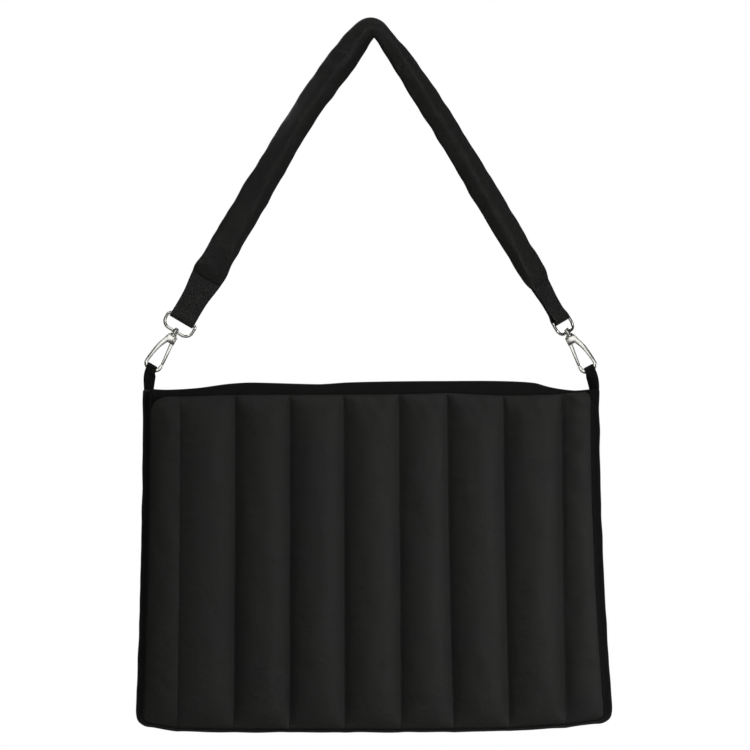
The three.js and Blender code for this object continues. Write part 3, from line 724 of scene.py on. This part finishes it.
def top_band(name, node, facing, seed):
    top = [through(BAND_TOP, step / BAND_COLUMNS) for step in range(BAND_COLUMNS + 1)]
    left, right = QUILT[0][2] - BAND_TUCK, QUILT[-1][2] - BAND_TUCK
    rows = []
    for step in range(BAND_ROWS + 1):
        up = step / BAND_ROWS
        row = []
        for edge in top:
            foot = mix(left, right, (edge.x - top[0].x) / (top[-1].x - top[0].x))
            lean = BAND_LEAN * ruffle(edge.x * 0.03 + seed, up, 0) * up
            depth = LINING_DEPTH - GAP - WALL / 2 + min(lean, 0)
            row.append(Vector((edge.x, facing * depth, mix(foot, edge.y + BAND_FOLD, up))) * MM)
        rows.append(row if facing < 0 else row[::-1])
    band = ribbon(name, node, rows, binding, WALL, 1)
    width, height = lengths(rows[-1])[-1], lengths([row[BAND_COLUMNS // 2] for row in rows])[-1]
    # The foot runs askew and the top wavers, so the band fills 98.5 % of its rectangle.
    print(f"{name}: {width / MM:.0f} x {height / MM:.0f} mm")


top_band("mouth_band_front", "top_band_front", -1, 0.0)
top_band("mouth_band_back", "top_band_back", 1, 9.0)

# %% [markdown]
# ## The two hangers
#
# The strap hangs on two rings, and each ring swivels on a snap hook. Everything on a hanger is drawn
# upright, at the swivel, with the hook's spine on the left. A matrix then mirrors it for the right side,
# leans it to the pull of the strap and takes it to its place. The ring and the flat strap end turn a little
# further about the strap.

# %% The two hangers
HANGERS = {  # the swivel's place and lean, how far the pad is from it, and how far out the tab is seated
    "left": {"mirror": 1, "x": -172.9, "z": -255.8, "lean": 30.5, "ring_lean": 0.0, "ring_turn": 0.0,
             "reach": 53.5, "seat_out": 2.2},
    "right": {"mirror": -1, "x": 168.4, "z": -256.2, "lean": -27.7, "ring_lean": 2.5, "ring_turn": 55.0,
              "reach": 47.8, "seat_out": 3.8},
}
for hanger in HANGERS.values():
    hang = Matrix.Translation(Vector((hanger["x"], 0, hanger["z"])) * MM)
    lean = Matrix.Rotation(math.radians(hanger["lean"]), 4, "Y")
    hanger["hook"] = hang @ lean @ Matrix.Diagonal((hanger["mirror"], 1, 1, 1))
    ring_lean = Matrix.Rotation(math.radians(hanger["ring_lean"]), 4, "Y")
    ring_turn = Matrix.Rotation(math.radians(-hanger["ring_turn"]), 4, "Z")
    hanger["ring"] = hanger["hook"] @ ring_lean @ ring_turn
for side, hanger in HANGERS.items():
    print(side, "swivel at", [round(c, 3) for c in hanger["hook"].translation])

# %% [markdown]
# ## Stuffed strap
#
# The strap is a sewn tube of the same nylon with a thin core of wadding, flattened where it lies on the
# shoulder and folded sharply over the peg. Blowing up a flat tube wouldn't find the photograph's twist, so
# the tube is laid through a table of sections, which already hold its stuffed form, and noise makes the
# core lumpy. A light stuffing follows, with the narrow edges, the crook and the two pinched ends sewn. It
# only settles the cloth on the core, by less than half a millimetre.

# %% Stuffed strap
STRAP_SECTIONS = (  # X and Z of the middle, width, thickness, and the turn from the front to the outside
    (-131.7, -184.9, 27.8, 16.5, 20), (-106.1, -141.4, 27.6, 18.0, 38), (-80.0, -97.9, 27.6, 18.0, 55),
    (-53.0, -54.4, 27.6, 18.0, 55), (-27.3, -19.6, 27.2, 18.0, 46), (-9.0, 4.6, 22.5, 15.5, 47),
    (-2.6, 9.5, 22.0, 14.0, 58), (3.5, 8.0, 22.0, 14.0, 70), (7.6, 2.4, 22.5, 15.0, 80),
    (23.8, -19.6, 27.2, 18.0, 76), (46.9, -54.4, 27.6, 18.0, 64), (74.4, -97.9, 27.6, 18.0, 64),
    (100.2, -141.4, 27.6, 18.0, 56), (126.0, -184.9, 27.8, 16.5, 55),
)
STRAP_END_SECTIONS = ((-1.0, 29.0, 4.6), (8.2, 30.4, 12.0))  # beyond the flat end, width, thickness
STRAP_SIDES, STRAP_STEP, SQUARENESS = 32, 3.0, 0.52
STRAP_SLIM, STRAP_WIDER, STRAP_LONGER = 0.95, 1.01, 1.05  # of the sections, and of the cut over the tube
CROOK, FOLD_DEPTH, FOLD_WIDE, PINCHED_RINGS = 16.0, 3.5, 3.0, 2
LUMP, LUMP_LONG = 0.09, 13
STRAP_PRESSURE, STRAP_STIFFNESS, STRAP_FRAMES, STRAP_CAP = 0.8, 18, 20, 4.0


def strap_end_sections(hanger):
    for beyond, wide, thick in STRAP_END_SECTIONS:
        place = hanger["ring"] @ Vector((0, 0, (hanger["reach"] + beyond) * MM)) / MM
        yield place.x, place.z, wide, thick, hanger["ring_turn"]


def strap_ring(section, run, along):
    """One ring of the tube in its place, and the same ring as it was cut, on a straight tube."""
    x, z, wide, thick, turn = section
    wide, thick = wide * STRAP_SLIM, thick * STRAP_SLIM
    outward = Vector((-run.y, 0, run.x))
    turn = math.radians(turn)
    broad = outward * math.cos(turn) + Vector((0, math.sin(turn), 0))
    thin = outward * -math.sin(turn) + Vector((0, math.cos(turn), 0))
    ring, cut = [], []
    for side in range(STRAP_SIDES + 1):
        angle = 2 * math.pi * (side % STRAP_SIDES) / STRAP_SIDES
        over, up = math.cos(angle), math.sin(angle)
        lump = 1 + LUMP * ruffle(along / LUMP_LONG, 1.1 * over, 1.1 * up)
        fold = FOLD_DEPTH * math.exp(-(x / FOLD_WIDE) ** 2) * max(0, -up)
        over = lump * (wide / 2) * math.copysign(abs(over) ** SQUARENESS, over)
        up = lump * (thick / 2) * math.copysign(abs(up) ** SQUARENESS, up)
        ring.append((Vector((x, fold, z)) + broad * over + thin * up) * MM)
        cut.append(Vector((over * STRAP_WIDER, up * STRAP_WIDER, along * STRAP_LONGER)) * MM)
    return ring, cut


strap_table = [*strap_end_sections(HANGERS["left"]), *STRAP_SECTIONS,
               *reversed(list(strap_end_sections(HANGERS["right"])))]
strap_shares = []
for span, (a, b) in enumerate(zip(strap_table, strap_table[1:])):
    steps = max(2, round((Vector(b[:2]) - Vector(a[:2])).length / STRAP_STEP))
    strap_shares += [(span + step / steps) / (len(strap_table) - 1) for step in range(steps)]
strap_shares.append(1.0)
strap_middles = [through(strap_table, share) for share in strap_shares]
strap_runs = lengths([Vector(middle[:2]) for middle in strap_middles])
strap_rows, strap_cut = [], []
for step, (middle, along) in enumerate(zip(strap_middles, strap_runs)):
    behind, ahead = strap_middles[max(step - 1, 0)], strap_middles[min(step + 1, len(strap_middles) - 1)]
    run = Vector((ahead[0] - behind[0], ahead[1] - behind[1])).normalized()
    ring, cut = strap_ring(middle, run, along)
    strap_rows.append(ring)
    strap_cut.append(cut)

strap = new_piece("stuffed_strap", laid_grid(strap_rows), taffeta)
column = [value.value for value in strap.data.attributes["column"].data]
row = [value.value for value in strap.data.attributes["row"].data]
last = len(strap_middles) - PINCHED_RINGS
held = [abs(middle[0]) < CROOK or not PINCHED_RINGS <= step < last
        for step, middle in enumerate(strap_middles)]
pinned = [held[row[k]] or column[k] % (STRAP_SIDES // 2) == 0 for k in range(len(row))]
cut = [strap_cut[row[k]][column[k]] for k in range(len(row))]
moved = stuff(strap, pinned, cut, STRAP_PRESSURE, STRAP_STIFFNESS, STRAP_FRAMES, STRAP_CAP * MM)
print(f"strap: the wadding moves the cloth by up to {moved / MM:.1f} mm")
with reopened(strap) as bm:
    bmesh.ops.holes_fill(bm, edges=[edge for edge in bm.edges if edge.is_boundary])
    bmesh.ops.recalc_face_normals(bm, faces=bm.faces)
soften(strap, 1)
dress(strap, "strap_pad")
print(f"strap: {len(strap_rows)} rings of {STRAP_SIDES}, {strap_runs[-1]:.0f} mm along its middle")

# %% [markdown]
# ## Flat strap ends
#
# Below the wadding the tube is pressed flat, folded round the ring's bar and sewn to itself. That is a
# ribbon, and it is laid as one: down the front, round the bar, and up behind. Solidify gives the layer its
# thickness, and a subdivision rounds its edges as folded cloth is.

# %% Flat strap ends
BAR_HEIGHT, BAR_WIRE = 12.7, 1.3
END_LAYER, END_FOLD_TAIL, END_TUCK, END_PARTING = 1.7, 9.0, 3, 0.1
END_WIDTHS = ((0.0, 23.4), (0.35, 22.9), (0.6, 23.4), (0.8, 26.4), (1.0, 29.0))  # share of the way up, width
END_COLUMNS, END_LEG_STEPS, END_EASE_STEPS, END_TURN_STEPS = 10, 9, 5, 10


def strap_end_rows(reach):
    """Rows across the layer's middle, from the pad down to the bar and back up."""
    flat, fold = END_LAYER / 2 + END_PARTING, BAR_WIRE + GAP + END_LAYER / 2
    tucked = reach - BAR_HEIGHT + END_TUCK
    leg = [(-flat, mix(tucked, END_FOLD_TAIL, step / END_LEG_STEPS)) for step in range(END_LEG_STEPS + 1)]
    for step in range(1, END_EASE_STEPS):
        down = step / END_EASE_STEPS
        leg.append((mix(-flat, -fold, (1 - math.cos(math.pi * down)) / 2), END_FOLD_TAIL * (1 - down)))
    angles = [math.pi * step / END_TURN_STEPS for step in range(END_TURN_STEPS + 1)]
    turn = [(-fold * math.cos(angle), -fold * math.sin(angle)) for angle in angles]
    back = [(-y, z) for y, z in reversed(leg)]
    for y, z in [*leg, *turn, *back]:
        wide = through(END_WIDTHS, min(max(z / tucked, 0), 1))[1]
        yield [Vector((wide * (step / END_COLUMNS - 0.5), y, BAR_HEIGHT + z)) * MM
               for step in range(END_COLUMNS + 1)]


for side, hanger in HANGERS.items():
    rows = [[hanger["ring"] @ point for point in row] for row in strap_end_rows(hanger["reach"])]
    strap_end = ribbon(f"flat_strap_end_{side}", f"strap_end_{side}", rows, taffeta, END_LAYER, 2)
    print(strap_end.name, f"{lengths([row[0] for row in rows])[-1] / MM:.0f} mm of strap")

# %% [markdown]
# ## Webbing tabs
#
# A short loop of webbing is sewn into each top corner. It comes up from inside the gusset edge on, turns to
# face the front, and goes over the foot of the hook. Like the strap ends it is a ribbon: up behind, over,
# and down in front. The two layers part only as far as the metal between them makes them.

# %% Webbing tabs
TAB_LAYER, TAB_COLUMNS, TAB_STEPS = 1.4, 8, 18
TAB_LEVELS, TAB_OVER, TAB_OVER_STEPS = 6, 3.2, 9  # steps until it hangs level, and the loop over the foot
HOOK_FOOT_MIDDLE = (-2.0, -38.25)
TAB_LEG = (  # outwards and upwards from the hook's foot, share drawn to the seat, width, parting, turn
    (0.4, -2.6, 0.15, 9.4, 3.3, 4), (0.5, -5.5, 0.35, 9.8, 2.4, 10), (0.5, -10.0, 0.7, 10.0, 1.3, 24),
    (0.0, -17.0, 1.0, 10.0, 0.85, 44), (0.0, -26.0, 1.0, 10.0, 0.8, 56), (0.0, -36.0, 1.0, 10.0, 0.8, 60),
)


def tab_rows(hanger):
    mirror = hanger["mirror"]
    foot = hanger["hook"] @ (Vector((HOOK_FOOT_MIDDLE[0], 0, HOOK_FOOT_MIDDLE[1])) * MM) / MM
    bar = (hanger["hook"].to_3x3() @ Vector((1, 0, 0))).normalized() * mirror
    lift = (hanger["hook"].to_3x3() @ Vector((0, 0, 1))).normalized()
    seat = QUILT[0 if mirror > 0 else -1][0] - mirror * hanger["seat_out"]
    across = [step / TAB_COLUMNS - 0.5 for step in range(TAB_COLUMNS + 1)]
    leg = []
    for step in range(TAB_STEPS + 1):
        out, up, seated, wide, part, turn = through(TAB_LEG, step / TAB_STEPS)
        centre = Vector((mix(foot.x - mirror * out, seat, min(max(seated, 0), 1)), 0, foot.z + up))
        turn = math.radians(turn) * mirror
        level = Vector((1, 0, 0)).lerp(bar, max(0, 1 - step / TAB_LEVELS)).normalized()
        broad = level * math.cos(turn) + Vector((0, math.sin(turn), 0))
        thin = Vector((0, math.cos(turn), 0)) - level * math.sin(turn)
        leg.append((centre, broad * wide, thin * part))
    front = [[centre - thin + broad * share for share in across] for centre, broad, thin in leg]
    behind = [[centre + thin + broad * share for share in across] for centre, broad, thin in leg]
    wide, part = leg[0][1], leg[0][2].length
    over = []
    for step in range(1, TAB_OVER_STEPS):
        angle = math.pi * step / TAB_OVER_STEPS
        centre = foot + lift * (TAB_OVER * math.sin(angle)) - Vector((0, part * math.cos(angle), 0))
        over.append([centre + wide * share for share in across])
    return [[point * MM for point in row] for row in [*reversed(front), *over, *behind]]


for side, hanger in HANGERS.items():
    rows = tab_rows(hanger)
    tab = ribbon(f"webbing_tab_{side}", f"tab_{side}", rows, webbing, TAB_LAYER, 1)
    print(tab.name, f"{lengths([row[0] for row in rows])[-1] / MM:.0f} mm of webbing")

# %% [markdown]
# ## Castings: plates and turned parts
#
# A snap hook is cast flat, so its body is an outline with a thickness, and what swivels on it is round. Two
# helpers cover both. A plate starts as a disc with as many corners as the outline, which
# `extrude_face_region` thickens. A turned part is half a profile, grown point by point and spun about the
# upright axis. Slots are cut with a Boolean, and a Bevel rounds every edge, because a cast edge that has
# been tumbled and plated is never sharp.

# %% Plates and turned parts
TURNED_SIDES, EDGE_SEGMENTS = 40, 3
EDGE_ANGLE, SHARP_ANGLE = math.radians(40), math.radians(35)


def arc(x, z, radius, start, end, steps):
    angles = [math.radians(mix(start, end, step / steps)) for step in range(steps + 1)]
    return [(x + radius * math.cos(angle), z + radius * math.sin(angle)) for angle in angles]


def plate(outline, thick):
    bm = bmesh.new()
    disc = bmesh.ops.create_circle(bm, cap_ends=True, segments=len(outline), radius=1)["verts"]
    for vert, (x, z) in zip(disc, outline):
        vert.co = Vector((x, -thick / 2, z)) * MM
    behind = bmesh.ops.extrude_face_region(bm, geom=bm.faces[:])["geom"]
    moved = [g for g in behind if isinstance(g, bmesh.types.BMVert)]
    bmesh.ops.translate(bm, vec=(0, thick * MM, 0), verts=moved)
    bmesh.ops.recalc_face_normals(bm, faces=bm.faces)
    return bm


def turned(profile):
    bm = bmesh.new()
    wire = list(bmesh.ops.create_vert(bm, co=Vector((profile[0][0], 0, profile[0][1])) * MM)["vert"])
    for radius, height in profile[1:]:
        wire += bmesh.ops.extrude_vert_indiv(bm, verts=wire[-1:])["verts"]
        wire[-1].co = Vector((radius, 0, height)) * MM
    bmesh.ops.spin(bm, geom=[*bm.verts, *bm.edges], cent=(0, 0, 0), axis=(0, 0, 1), angle=2 * math.pi,
                   steps=TURNED_SIDES, use_merge=True)
    bmesh.ops.remove_doubles(bm, verts=bm.verts, dist=WELD / 10)
    return bm


def cut_out(piece, cutter):
    tool = new_piece("cutter", cutter, nickel)
    slot = piece.modifiers.new("slot", "BOOLEAN")
    slot.operation, slot.object = "DIFFERENCE", tool
    apply_modifiers(piece)
    bpy.data.objects.remove(tool)


def tumble_edges(piece, width):
    bevel = piece.modifiers.new("tumbled edges", "BEVEL")
    bevel.width, bevel.segments, bevel.angle_limit = width * MM, EDGE_SEGMENTS, EDGE_ANGLE
    apply_modifiers(piece)


def set_in_place(piece, matrix, *extras):
    """Adds turned parts to a piece, takes it to its hanger, and keeps only its real corners sharp."""
    with reopened(piece) as bm:
        for extra in extras:
            spare = bpy.data.meshes.new("spare")
            extra.to_mesh(spare)
            extra.free()
            bm.from_mesh(spare)
            bpy.data.meshes.remove(spare)
        bmesh.ops.transform(bm, matrix=matrix, verts=bm.verts)
        bmesh.ops.recalc_face_normals(bm, faces=bm.faces)
    piece.data.shade_smooth()
    piece.data.set_sharp_from_angle(angle=SHARP_ANGLE)


test_dome = turned(((0, 1), (1, 0)))
print("a turned test cone has", len(test_dome.faces), "faces")
test_dome.free()

# %% [markdown]
# ## Snap hooks, gates and pins
#
# The hook's spine bows out to the side, its head is forked for the gate, and its nose stops the gate from
# inside. A collar, a post and a rivet on top of the head hold the ring. The gate is a flat lever in the
# fork, on a pin with two low domes. It rides on its own body, so that it swings in the poses while the hook
# stays put.

# %% Snap hooks, gates and pins
HOOK_THICK, GATE_THICK = 4.8, 2.4
SPINE_OUTER = ((-4.0, -3.7), (-6.0, -10.4), (-7.9, -16.0), (-9.3, -24.0), (-10.0, -31.0))
SPINE_INNER = ((-7.2, -34.1), (-6.9, -31.0), (-5.9, -24.0), (-3.8, -16.5), (-1.2, -11.2))
PIVOT = (2.4, -8.0)
PIN_RADIUS, PIN_ROOM = 0.8, 0.3
FORK_LEFT, FORK_TOP, FORK_SIZE = -0.6, -5.4, 12
HOOK_EDGE, GATE_EDGE, SPINE_STEPS = 0.7, 0.4, 24
HOLE_SIDES, HOLE_DEEP = 32, 10
HEAD_TOP, HEAD_FOOT = (4.6, -3.7), (4.8, -11.4)  # the head's corners on the side of the gate
NOSE = ((6.2, -31.6), (3.2, -31.6))
FOOT_OUTER, FOOT_OUTER_CENTRES = 6.0, ((-4.1, -34.2), (0.2, -34.2))
FOOT_INNER, FOOT_INNER_CENTRES = 2.2, ((1.0, -34.1), (-5.0, -34.1))
GATE_END, GATE_RIGHT, GATE_LEFT = 1.75, ((6.0, -31.0), (5.9, -29.0)), ((3.4, -29.0), (3.5, -31.0))
POST = (  # radius and height, from the collar up to the rivet
    (0.0, -5.0), (2.6, -5.0), (3.1, -4.5), (3.1, -2.6), (2.6, -2.1), (1.15, -2.1),
    (1.15, 2.1), (1.9, 2.1), (2.3, 2.4), (2.3, 2.8), (1.6, 3.3), (0.0, 3.5),
)
PIN = ((0.0, -2.8), (0.5, -2.7), (0.8, -2.5), (0.8, 2.5), (0.5, 2.7), (0.0, 2.8))

spine_shares = [step / SPINE_STEPS for step in range(SPINE_STEPS + 1)]
hook_outline = [
    HEAD_TOP,
    *(through(SPINE_OUTER, share)[:] for share in spine_shares),
    *arc(*FOOT_OUTER_CENTRES[0], FOOT_OUTER, 180, 270, 10),
    *arc(*FOOT_OUTER_CENTRES[1], FOOT_OUTER, 270, 360, 10),
    *NOSE,
    *arc(*FOOT_INNER_CENTRES[0], FOOT_INNER, 0, -90, 6),
    *arc(*FOOT_INNER_CENTRES[1], FOOT_INNER, -90, -174, 6),
    *(through(SPINE_INNER, share)[:] for share in spine_shares[1:]),
    HEAD_FOOT,
]
gate_outline = [*GATE_RIGHT, *arc(*PIVOT, GATE_END, 0, 180, 14), *GATE_LEFT]
to_pivot = Matrix.Translation(Vector((PIVOT[0], 0, PIVOT[1])) * MM)
at_pivot = to_pivot @ Matrix.Rotation(math.radians(90), 4, "X")
hole_radius = (PIN_RADIUS + PIN_ROOM) * MM

for side, hanger in HANGERS.items():
    hook = new_piece(f"snap_hook_{side}", plate(hook_outline, HOOK_THICK), nickel)
    fork = bmesh.new()
    bmesh.ops.create_cube(fork, size=1)
    bmesh.ops.scale(fork, verts=fork.verts,
                    vec=Vector((FORK_SIZE, GATE_THICK + 2 * PIN_ROOM, FORK_SIZE)) * MM)
    bmesh.ops.translate(fork, verts=fork.verts,
                        vec=Vector((FORK_LEFT + FORK_SIZE / 2, 0, FORK_TOP - FORK_SIZE / 2)) * MM)
    cut_out(hook, fork)
    tumble_edges(hook, HOOK_EDGE)
    set_in_place(hook, hanger["hook"], turned(POST))
    dress(hook, f"hook_{side}")

    gate = new_piece(f"hook_gate_{side}", plate(gate_outline, GATE_THICK), nickel)
    hole = bmesh.new()
    bmesh.ops.create_cone(hole, cap_ends=True, segments=HOLE_SIDES, radius1=hole_radius, radius2=hole_radius,
                          depth=HOLE_DEEP * MM, matrix=at_pivot)
    cut_out(gate, hole)
    tumble_edges(gate, GATE_EDGE)
    set_in_place(gate, hanger["hook"])
    dress(gate, f"gate_{side}", f"gate_{side}")

    pin = new_piece(f"gate_pin_dome_{side}", turned(PIN), nickel)
    set_in_place(pin, hanger["hook"] @ at_pivot)
    dress(pin, f"gate_pin_{side}")
    for piece in (hook, gate, pin):
        print(piece.name, len(piece.data.polygons), "faces")

# %% [markdown]
# ## Rings
#
# The ring is wire bent to a D, with a boss round the hook's post. The bar lies in the fold of the strap. A
# curve with a round bevel makes wire too. Here the wire is one more grid, rolled up and closed on itself,
# and the boss is turned.

# %% Rings
RING_HALF, RING_TOP_CORNER, RING_FOOT_CORNER = 13.5, 2.5, 7.0
WIRE_SIDES = 18
BOSS = (  # radius and height, once round its section
    (1.45, -1.4), (1.85, -1.8), (2.3, -1.8), (2.7, -1.4), (2.7, 1.4), (2.3, 1.8), (1.85, 1.8), (1.45, 1.4),
    (1.45, -1.4),
)


def ring_wire():
    top, foot = RING_HALF - RING_TOP_CORNER, RING_HALF - RING_FOOT_CORNER
    path = (arc(top, BAR_HEIGHT - RING_TOP_CORNER, RING_TOP_CORNER, 0, 90, 8)
            + arc(-top, BAR_HEIGHT - RING_TOP_CORNER, RING_TOP_CORNER, 90, 180, 8)
            + arc(-foot, RING_FOOT_CORNER, RING_FOOT_CORNER, 180, 270, 14)
            + arc(foot, RING_FOOT_CORNER, RING_FOOT_CORNER, 270, 360, 14))
    angles = [2 * math.pi * (side % WIRE_SIDES) / WIRE_SIDES for side in range(WIRE_SIDES + 1)]
    rows = []
    for step, (x, z) in enumerate(path):
        before, after = Vector(path[step - 1]), Vector(path[(step + 1) % len(path)])
        run = (after - before).normalized()
        outward, middle = Vector((run.y, 0, -run.x)), Vector((x, 0, z))
        row = []
        for angle in angles:
            over, up = BAR_WIRE * math.cos(angle), BAR_WIRE * math.sin(angle)
            row.append((middle + outward * over + Vector((0, up, 0))) * MM)
        rows.append(row)
    return laid_grid([*rows, rows[0]])


for side, hanger in HANGERS.items():
    ring = new_piece(f"wire_ring_{side}", ring_wire(), nickel)
    set_in_place(ring, hanger["ring"], turned(BOSS))
    dress(ring, f"ring_{side}")
    print(ring.name, len(ring.data.polygons), "faces")
